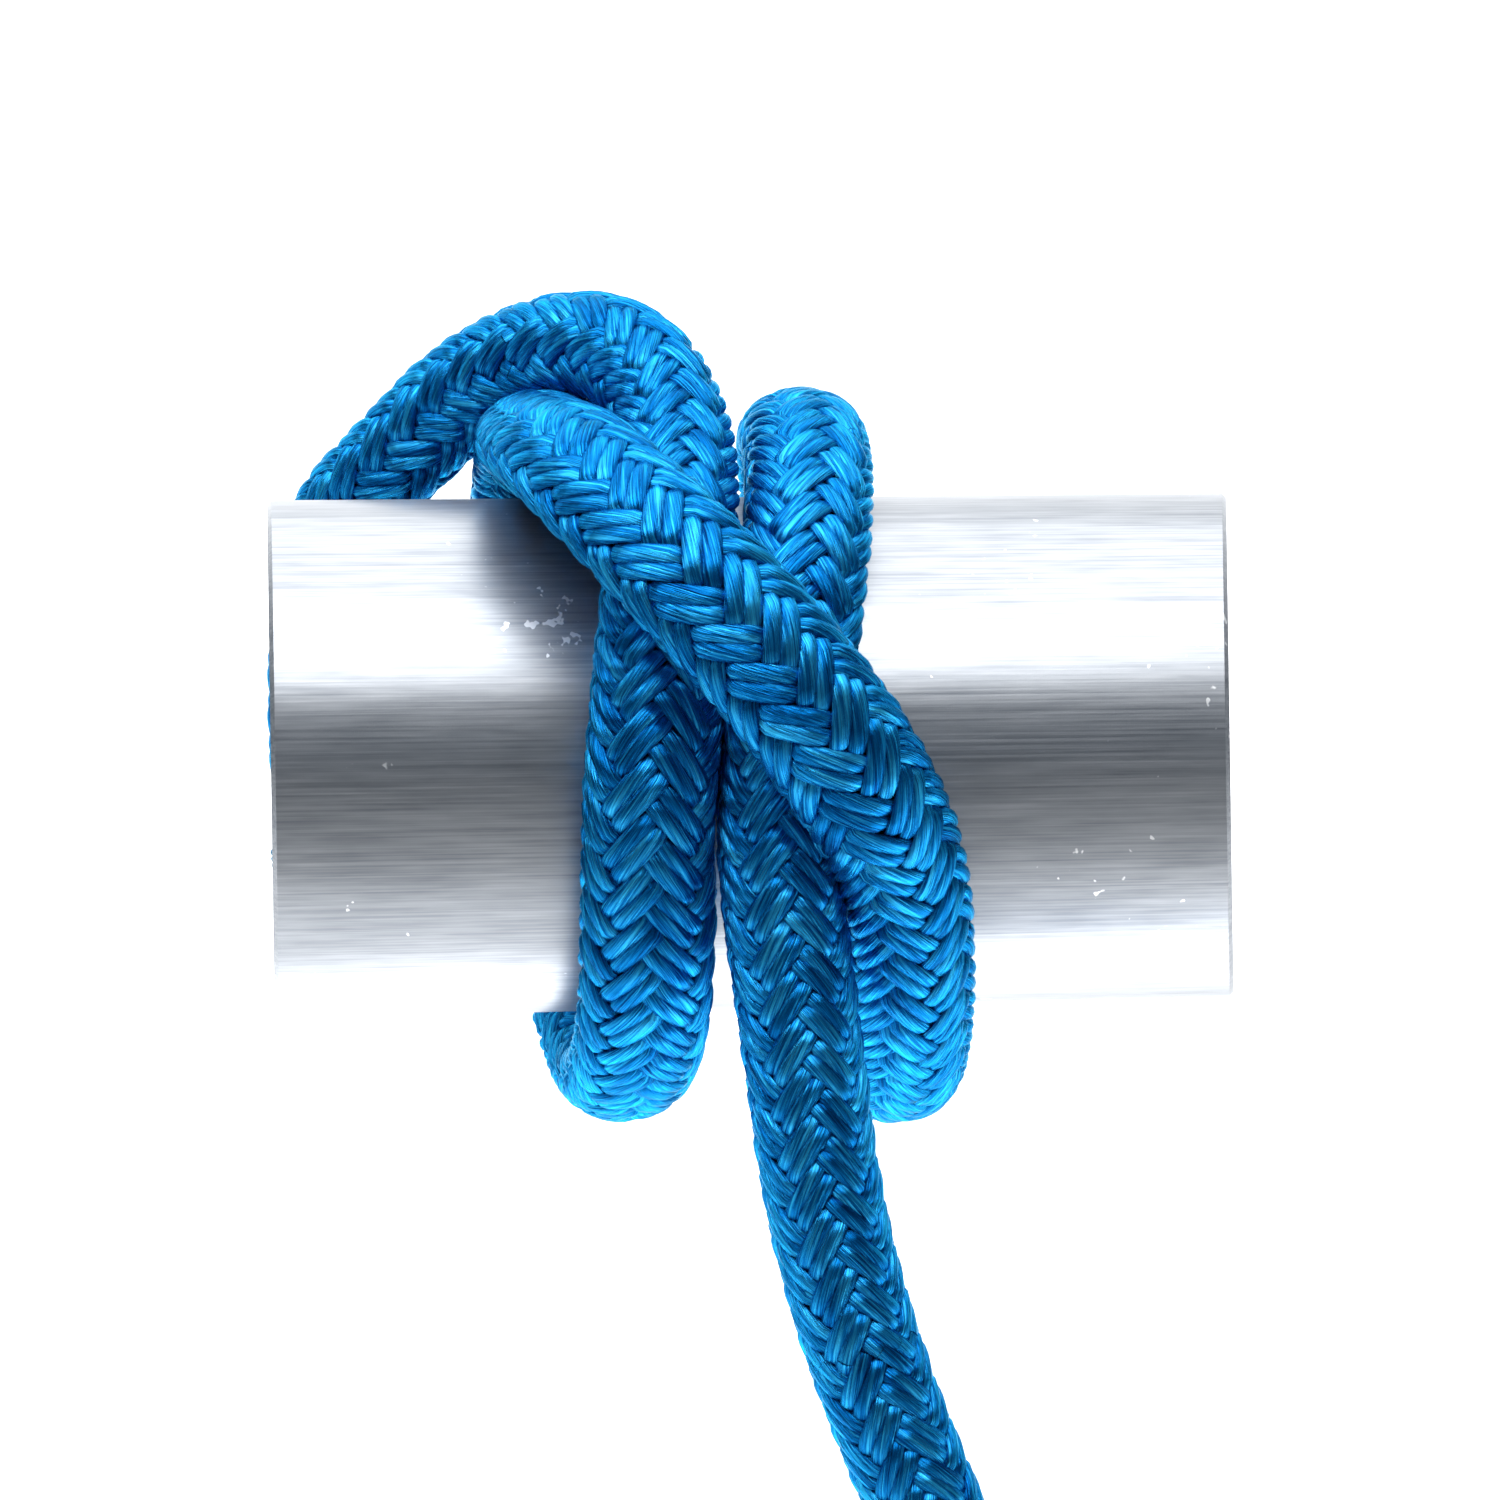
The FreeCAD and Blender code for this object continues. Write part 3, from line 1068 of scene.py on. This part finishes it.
@dataclass
class Twine:
    """Waxed twine, put on as whippings and as the eye's seizing."""

    line: RopeLine
    material: bpy.types.Material
    rope_radius: float = 6.35 * MM
    around: int = 10
    uneven: Ripple = Ripple(0.04, 2.3 * MM, 40)
    filament_twist: float = 1.1
    whipping_radius: float = 0.46 * MM
    whipping_lift: float = 0.32 * MM
    rings_in_whipping_turn: int = 40
    riser_pairs: int = 3
    riser_radius: float = 0.36 * MM
    riser_overrun: float = 0.06
    riser_apart: float = 0.13
    riser_lean: float = 0.5
    riser_low: float = 0.2 * MM
    riser_rise: float = 0.95 * MM
    seizing_radius: float = 0.60 * MM
    seizing_lift: float = 0.5 * MM
    seizing_squareness: float = 4.0
    rings_in_seizing_turn: int = 56
    frapping_turns: int = 3
    frapping_spread: float = 1.2 * MM
    rings_in_frapping_turn: int = 72

    def loop(self, surface: Surface, path: Array, outward: Array, radius: float, lot: float) -> None:
        """Adds one length of twine.

        Args:
            surface: the surface that it joins.
            path: its centre.
            outward: for each point, the way out from the rope.
            radius: its radius.
            lot: its lot, from 0 to 1.
        """
        run = run_along(path)
        thick = radius * (1 + self.uneven.at(run, lot))
        rings = sweep(path, outward, thick, thick, self.around)
        surface.add(rings, run, lot, self.filament_twist)

    def wind(
        self,
        surface: Surface,
        stations: Array,
        angle: Array,
        lift: Array | float,
        radius: float,
        lot: float,
    ) -> None:
        """Adds twine that turns round the rope as it goes along it.

        Args:
            surface: the surface that it joins.
            stations: for each point, its place along the rope.
            angle: for each point, its place round the rope.
            lift: how far it is from the rope's line.
            radius: its radius.
            lot: its lot, from 0 to 1.
        """
        outward = self.line.outward(stations, angle)
        path = self.line.at(stations, self.line.points) + outward * np.reshape(lift, (-1, 1))
        self.loop(surface, path, outward, radius, lot)

    def whipping(self, name: str, start: float, end: float) -> bpy.types.Object:
        """Tight turns round the rope, held by pairs of risers that cross them.

        Args:
            name: the piece's name.
            start: station of the first turn's edge.
            end: station of the last turn's edge.

        Returns:
            The piece.
        """
        radius, long = self.whipping_radius, end - start
        turns = int(round(long / (2 * radius)))
        share = np.linspace(0.0, 1.0, turns * self.rings_in_whipping_turn + 1)
        stations = start + radius + share * (long - 2 * radius)
        surface = Surface()
        angle = share * turns * 2 * math.pi
        self.wind(surface, stations, angle, self.rope_radius + self.whipping_lift, radius, lot=0.2)
        reach = np.linspace(-self.riser_overrun, 1 + self.riser_overrun, 41)
        bow = np.clip(np.sin(math.pi * reach), 0, 1) ** 0.4
        lift = self.rope_radius + self.riser_low + self.riser_rise * bow
        for riser in range(2 * self.riser_pairs):
            pair, twin = divmod(riser, 2)
            angle = pair * 2 * math.pi / self.riser_pairs + (twin - 0.5) * self.riser_apart
            lot = 0.4 + 0.1 * riser
            turned = angle + self.riser_lean * reach
            self.wind(surface, start + reach * long, turned, lift, self.riser_radius, lot)
        return surface.make(name, self.material)

    def seizing(self, name: str, first: float, second: float, length: float) -> bpy.types.Object:
        """Round turns that bind two legs of the rope, with frapping turns between the legs.

        Args:
            name: the piece's name.
            first: station of the middle of the seizing on one leg.
            second: station of its middle on the other.
            length: how long the seizing is.

        Returns:
            The piece.
        """
        radius, lift = self.seizing_radius, self.rope_radius + self.seizing_lift
        ends = self.line.at(np.array([first, second]), self.line.points)
        along = unit(self.line.at(np.array([first]), self.line.tangent)[0])
        apart = ends[1] - ends[0]
        apart = apart - along * (apart @ along)
        half_gap, middle = np.linalg.norm(apart) / 2, ends.mean(0)
        apart = unit(apart)
        deep = np.cross(along, apart)
        turns = int(round(length / (2 * radius)))
        share = np.linspace(0.0, 1.0, turns * self.rings_in_seizing_turn + 1)
        angle = share * turns * 2 * math.pi
        outward = np.cos(angle)[:, None] * apart + np.sin(angle)[:, None] * deep
        lean = np.tanh(np.cos(angle) * self.seizing_squareness)[:, None] * apart * half_gap
        shift = (share - 0.5) * (length - 2 * radius)
        surface = Surface()
        path = middle + along * shift[:, None] + lean + outward * lift
        self.loop(surface, path, outward, radius, lot=0.3)
        rings = self.frapping_turns * self.rings_in_frapping_turn + 1
        angle = np.linspace(0.0, self.frapping_turns * 2 * math.pi, rings)
        shift = np.linspace(-self.frapping_spread, self.frapping_spread, rings)
        square = np.maximum(np.abs(np.cos(angle)), np.abs(np.sin(angle))) ** 0.75
        tall, wide = length / 2 + radius, lift + 1.7 * radius
        outward = np.cos(angle)[:, None] * along / tall + np.sin(angle)[:, None] * deep / wide
        path = (
            middle
            + (np.cos(angle) / square * tall)[:, None] * along
            + (np.sin(angle) / square * wide)[:, None] * deep
            + shift[:, None] * apart
        )
        self.loop(surface, path, unit(outward), radius * 0.9, lot=0.7)
        return surface.make(name, self.material)


@dataclass(frozen=True)
class Lump:
    """A wave round a melted end, which turns as it goes from the dome's middle to its rim."""

    height: float
    times: int
    turn: float

    def at(self, angle: Array, bow: Array) -> Array:
        """The wave's height round each of the dome's rings."""
        return self.height * np.sin(self.times * angle[None] + self.turn * bow[:, None])


@dataclass
class SealedEnd:
    """Rope end melted to a lumpy dome."""

    line: RopeLine
    material: bpy.types.Material
    depth: float = 3.4 * MM
    radius: float = 6.1 * MM
    least_radius: float = 0.05 * MM
    rings: int = 15
    around: int = 48
    lumps: tuple[Lump, ...] = (Lump(0.020, 8, 0), Lump(0.03, 3, 5), Lump(0.015, 13, 3))

    def make(self, name: str, station: float, sign: int) -> bpy.types.Object:
        """Builds one end.

        Args:
            name: the piece's name.
            station: station of the very end.
            sign: 1 where the line runs away from the end, -1 where it runs into it.

        Returns:
            The piece.
        """
        bow = np.linspace(0.0, 1.0, self.rings)
        depth = self.depth * (1 - np.cos(bow * math.pi / 2) ** 0.9)
        radius = self.radius * np.sin(bow * math.pi / 2) ** 0.55 + self.least_radius
        stations = np.clip(station + sign * depth, 0.0, self.line.length)
        angle = np.linspace(0, 2 * math.pi, self.around, endpoint=False)
        lumps = sum(lump.at(angle, bow) for lump in self.lumps)
        span = (radius[:, None] * (1 + lumps))[..., None]
        normal = self.line.at(stations, self.line.normal)[:, None]
        binormal = self.line.at(stations, self.line.binormal)[:, None]
        ring = normal * np.cos(angle)[None, :, None] + binormal * np.sin(angle)[None, :, None]
        rings = self.line.at(stations, self.line.points)[:, None] + ring * span
        return Surface().add(rings[::sign], depth[::sign], 0.5).make(name, self.material)


# --- The rope ---


@dataclass(frozen=True)
class Stretch:
    """One stretch of the rope. Where it has two bodies, bend is the place between them."""

    name: str
    start: float
    end: float
    bodies: tuple[str, ...]
    bend: Triple | None
    cover_nodes: tuple[str, ...]
    core_nodes: tuple[str, ...]
    far_end: str = "object"
    leaves_from_end: bool = False


@dataclass
class Rope:
    """The whole rope, with its ends, whippings and seizing."""

    line: RopeLine
    braid: Braid
    twine: Twine
    sealed: SealedEnd
    core: bpy.types.Material
    bend_reach: float = 7.0 * MM
    tip: float = 2.6 * MM
    whipping_from: float = 3.0 * MM
    whipping_to: float = 12.0 * MM
    seizing_length: float = 20.0 * MM
    seizing_near: Triple = (0.0294, -0.0370, -0.1181)
    seizing_first_leg: float = 0.74
    seizing_second_leg: float = 0.93
    every: int = 4

    def stretches(self) -> list[Stretch]:
        """The stretches, in order along the rope."""
        return [
            Stretch(
                "end",
                self.tip,
                0.090,
                ("working_end", "hitch"),
                (-0.0430, 0.02475, 0.03275),
                ("end_cover", "arch_cover"),
                ("end_core",),
                "bare",
                True,
            ),
            Stretch(
                "hitch",
                0.090,
                0.620,
                ("hitch",),
                None,
                ("first_turn_cover", "riding_turn_cover", "last_turn_cover"),
                ("hitch_core",),
            ),
            Stretch(
                "tail",
                0.620,
                0.728,
                ("hitch", "tail"),
                (0.00295, -0.0370, -0.0415),
                ("tail_cover",),
                ("tail_core",),
            ),
            Stretch("neck", 0.728, 0.812, ("tail", "eye"), (0.0214, -0.0370, -0.09975), (), ()),
            Stretch(
                "eye",
                0.812,
                self.line.length - self.tip,
                ("eye",),
                None,
                ("eye_cover",),
                ("eye_core",),
                "bare",
            ),
        ]

    def fix(self, piece: bpy.types.Object, stretch: Stretch) -> None:
        """Makes a piece follow its stretch's body; where the stretch has two bodies, only bakes the
        piece's place into its mesh.

        Args:
            piece: the piece.
            stretch: the stretch that it is on.
        """
        if stretch.bend is None:
            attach(piece, stretch.bodies[0])
            return
        middle = self.line.station_near(stretch.bend)
        places = np.array([middle - self.bend_reach, middle + self.bend_reach])
        start, end = self.line.at(places, self.line.points)
        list(stretch.bodies)
        tuple(start)
        tuple(end)
        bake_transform(piece)

    def extras(self) -> dict[str, list[bpy.types.Object]]:
        """Whippings, seizing and sealed ends, by the stretch that they are on."""
        end = self.line.length
        first = self.line.station_near(self.seizing_near, self.seizing_first_leg)
        middle = self.line.at(np.array([first]), self.line.points)[0]
        second = self.line.station_near(middle, self.seizing_second_leg)
        whipping, low, high = self.twine.whipping, self.whipping_from, self.whipping_to
        made = {
            "end_whipping": whipping("end_whipping_twine", low, high),
            "end_tip": self.sealed.make("end_tip_melted", 0.0, 1),
            "eye_end_whipping": whipping("eye_end_whipping_twine", end - high, end - low),
            "eye_end_tip": self.sealed.make("eye_end_tip_melted", end, -1),
            "eye_seizing": self.twine.seizing("eye_seizing_twine", first, second, self.seizing_length),
        }
        for node, piece in made.items():
            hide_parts(node)
            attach(piece, "eye" if node.startswith("eye") else "working_end")
        names = ("end_whipping", "end_tip")
        return {
            "end": [made[n] for n in names],
            "eye": [piece for node, piece in made.items() if node not in names],
        }

    def declare(self, stretch: Stretch, pieces: list[bpy.types.Object]) -> None:
        """Works out a stretch's path along the line and its length, but declares nothing with them.

        Args:
            stretch: the stretch.
            pieces: what it is made of, a carrier first.
        """
        inside = (self.line.along > stretch.start) & (self.line.along < stretch.end)
        ends = self.line.at(np.array([stretch.start, stretch.end]), self.line.points)
        path = np.concatenate([ends[:1], self.line.points[inside][:: self.every], ends[1:]])
        if stretch.leaves_from_end:
            path = path[::-1]
        stretch.end - stretch.start
        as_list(pieces[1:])

    def build(self) -> None:
        extras = self.extras()
        for stretch in self.stretches():
            strands = self.braid.stretch(stretch.name, stretch.start, stretch.end)
            name = f"{stretch.name}_inner_core"
            core = self.braid.core(name, stretch.start, stretch.end, self.core)
            for piece in [*strands, core]:
                self.fix(piece, stretch)
            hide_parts(*stretch.cover_nodes)
            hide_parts(*stretch.core_nodes)
            self.declare(stretch, [*strands, core, *extras.get(stretch.name, [])])
            log.info("%s: %.1f mm", stretch.name, (stretch.end - stretch.start) / MM)


# --- The studio ---


@dataclass
class Bar:
    """Length of plain aluminium tube that the rope is made fast to, which isn't part of the rope."""

    radius: float = 30.15 * MM
    bore: float = 26.2 * MM
    left: float = -55.2 * MM
    right: float = 59.4 * MM
    left_slope: float = 0.0196
    right_slope: float = 0.2508
    chamfer: float = 0.5 * MM
    around: int = 192
    sharp_angle: float = 30.0

    def make(self) -> bpy.types.Object:
        """Builds the bar as a turned tube, sawn a little aslant at both ends."""
        profile = [
            (self.left, self.bore),
            (self.left, self.radius - self.chamfer),
            (self.left + self.chamfer, self.radius),
            (self.right - self.chamfer, self.radius),
            (self.right, self.radius - self.chamfer),
            (self.right, self.bore),
        ]
        angle = np.linspace(0, 2 * math.pi, self.around, endpoint=False)
        slopes = (self.left_slope,) * 3 + (self.right_slope,) * 3
        points = [
            (x + slope * r * math.cos(a), r * math.cos(a), r * math.sin(a))
            for (x, r), slope in zip(profile, slopes)
            for a in angle
        ]
        faces = []
        for i in range(len(profile)):
            low, high = i * self.around, (i + 1) % len(profile) * self.around
            for j in range(self.around):
                k = (j + 1) % self.around
                faces.append((low + j, high + j, high + k, low + k))
        mesh = new_mesh("display_bar", points, faces, BrushedFinish().make())
        mesh.set_sharp_from_angle(angle=math.radians(self.sharp_angle))
        return linked("display_bar", mesh)


@dataclass(frozen=True)
class Lamp:
    """One soft wide light that looks at the hitch, with its width, height and power in watts."""

    name: str
    place: Triple
    size: tuple[float, float]
    power: float

    def make(self) -> None:
        """Hangs the light."""
        data = bpy.data.lights.new(self.name, "AREA")
        data.shape = "RECTANGLE"
        data.size, data.size_y = self.size
        data.energy = self.power
        lamp = linked(self.name, data)
        lamp.location = self.place
        lamp.rotation_euler = (-Vector(self.place)).to_track_quat("-Z", "Y").to_euler()


@dataclass
class Studio:
    """Camera, lights, floor and backdrop."""

    distance: float = 0.5
    yaw: float = 7.6
    roll: float = 0.87
    lens: float = 101.4
    aside: float = 1.18 * MM
    above: float = 0.24 * MM
    floor: float = -0.30
    backdrop: float = 1.0
    wide: float = 4.0
    near: float = -2.5
    top: float = 1.4
    backdrop_glow: float = 1.0
    sky: Triple = (0.74, 0.86, 1.0)
    sky_strength: float = 0.19
    lamps: tuple[Lamp, ...] = (
        Lamp("key", (-0.20, -0.50, 0.70), (1.3, 0.60), 11.0),
        Lamp("top", (0.05, 0.12, 0.80), (1.3, 0.75), 8.0),
        Lamp("below", (0.05, 0.08, -0.28), (0.9, 0.28), 2.0),
    )

    def camera(self) -> None:
        """Places the camera at the bar's height, a little to its left, and rolls it slightly."""
        yaw = math.radians(self.yaw)
        ahead = Vector((math.sin(yaw), math.cos(yaw), 0.0))
        right = Vector((math.cos(yaw), -math.sin(yaw), 0.0))
        data = bpy.data.cameras.new("camera")
        data.lens = self.lens
        data.sensor_width = 36.0
        data.clip_start = 0.01
        camera = linked("camera", data)
        place = ahead * -self.distance + right * self.aside + Vector((0.0, 0.0, self.above))
        turned = (
            Matrix.Rotation(-yaw, 4, "Z")
            @ Matrix.Rotation(math.pi / 2, 4, "X")
            @ Matrix.Rotation(-math.radians(self.roll), 4, "Z")
        )
        camera.matrix_world = Matrix.Translation(place) @ turned
        bpy.context.scene.camera = camera

    def sheet(self, name: str, corners: list[Triple], finish: PaperFinish | FloorFinish) -> None:
        """Adds one flat sheet of studio paper.

        Args:
            name: the sheet's name.
            corners: its four corners, in order.
            finish: its finish.
        """
        linked(name, new_mesh(name, corners, [(0, 1, 2, 3)], finish.make()))

    def build(self) -> None:
        """Builds the floor, backdrop, lights and world."""
        wide, near, low, back, top = self.wide, self.near, self.floor, self.backdrop, self.top
        corners = [(-wide, near, low), (wide, near, low), (wide, back, low), (-wide, back, low)]
        self.sheet("floor_paper", corners, FloorFinish("floor_paper"))
        corners = [(-wide, back, low), (wide, back, low), (wide, back, top), (-wide, back, top)]
        self.sheet("backdrop_paper", corners, PaperFinish("backdrop_paper", self.backdrop_glow))
        for lamp in self.lamps:
            lamp.make()
        world = bpy.data.worlds.new("studio_world")
        bpy.context.scene.world = world
        world.use_nodes = True
        sky = next(n for n in world.node_tree.nodes if n.type == "BACKGROUND")
        sky.inputs["Color"].default_value = colour(*self.sky)
        sky.inputs["Strength"].default_value = self.sky_strength
        bpy.context.scene.view_settings.view_transform = "Standard"


def main() -> None:
    """Builds the studio, the rope and the bar."""
    logging.basicConfig(level=logging.INFO, format="%(message)s")
    studio = Studio()
    studio.camera()
    line = RopeLine(read_spline(ROUTE))
    log.info("rope line: %.1f mm", line.length / MM)
    seams = (FIRST_TURN_SEAM, RIDING_TURN_SEAM, LAST_TURN_SEAM, TAIL_SEAM)
    braid = Braid(line, Press(line), YARN.make(), seams)
    rope = Rope(line, braid, Twine(line, TWINE.make()), SealedEnd(line, SEALED.make()), CORE_PAINTED_SHADE.make())
    rope.build()
    Bar().make()
    studio.build()


if __name__ == "__main__":
    main()
